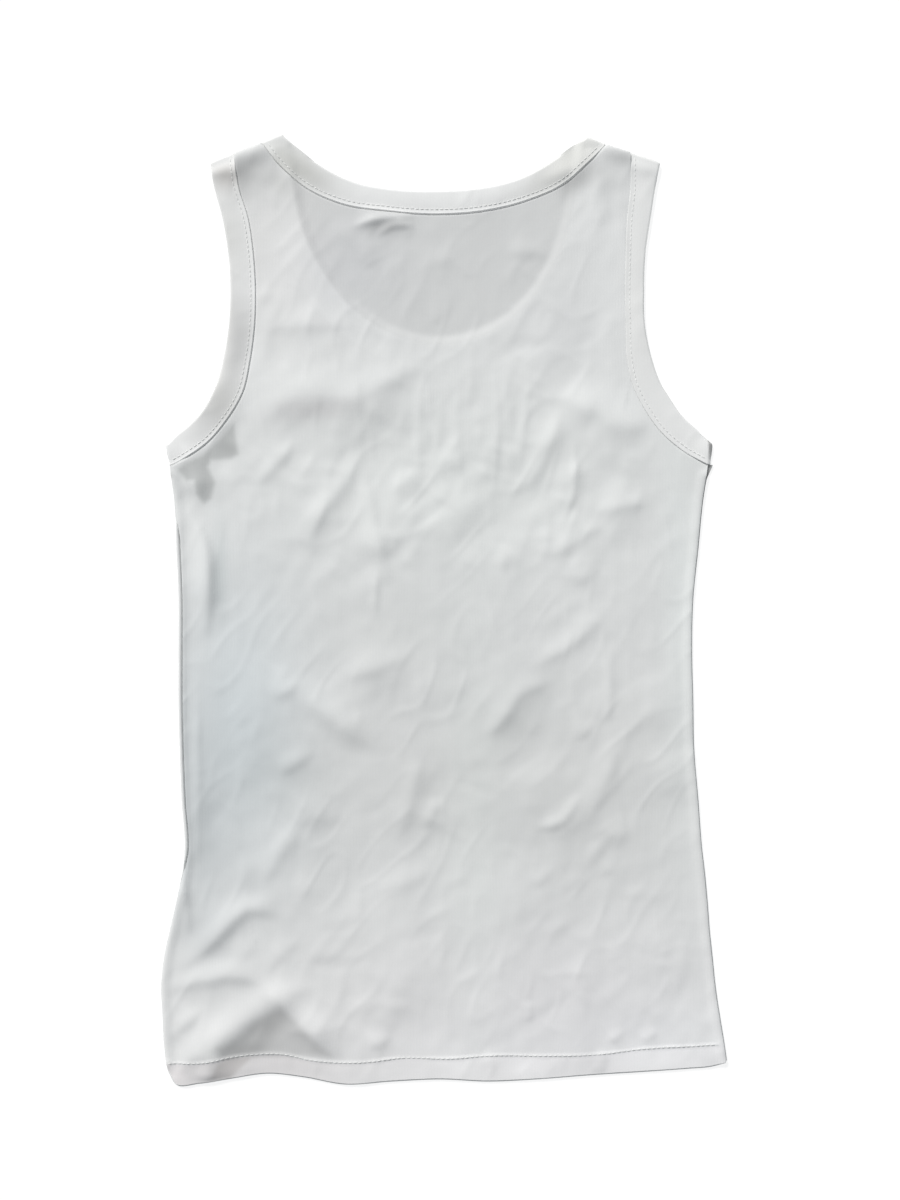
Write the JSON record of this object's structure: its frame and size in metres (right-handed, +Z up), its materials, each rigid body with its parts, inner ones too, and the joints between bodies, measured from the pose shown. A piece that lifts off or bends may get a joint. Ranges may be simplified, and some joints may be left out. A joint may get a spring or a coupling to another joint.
{
  "type": "tank top",
  "caption": "Sleeveless jersey tank top laid flat with its back up, with bound scoop neck and armholes and a turned hem.",
  "frame": {"origin": "centre of the laid garment's box, on the surface it lies on", "axes": "+Z up from the surface, towards the garment's back, which faces up; +Y from the hem to the shoulders; +X towards the wearer's right side"},
  "size_m": [0.3954, 0.6656, 0.0078],
  "materials": {
    "back_panel": "matte white cotton jersey",
    "front_panel": "matte white cotton jersey",
    "neck_binding": "matte white cotton jersey, folded double",
    "armhole_binding": "matte white cotton jersey, folded double"
  },
  "bodies": {
    "root": {"back_panel": "back_panel", "front_panel": "front_panel", "neck_binding": "neck_binding", "armhole_binding_left": "armhole_binding", "armhole_binding_right": "armhole_binding"}
  },
  "joints": []
}
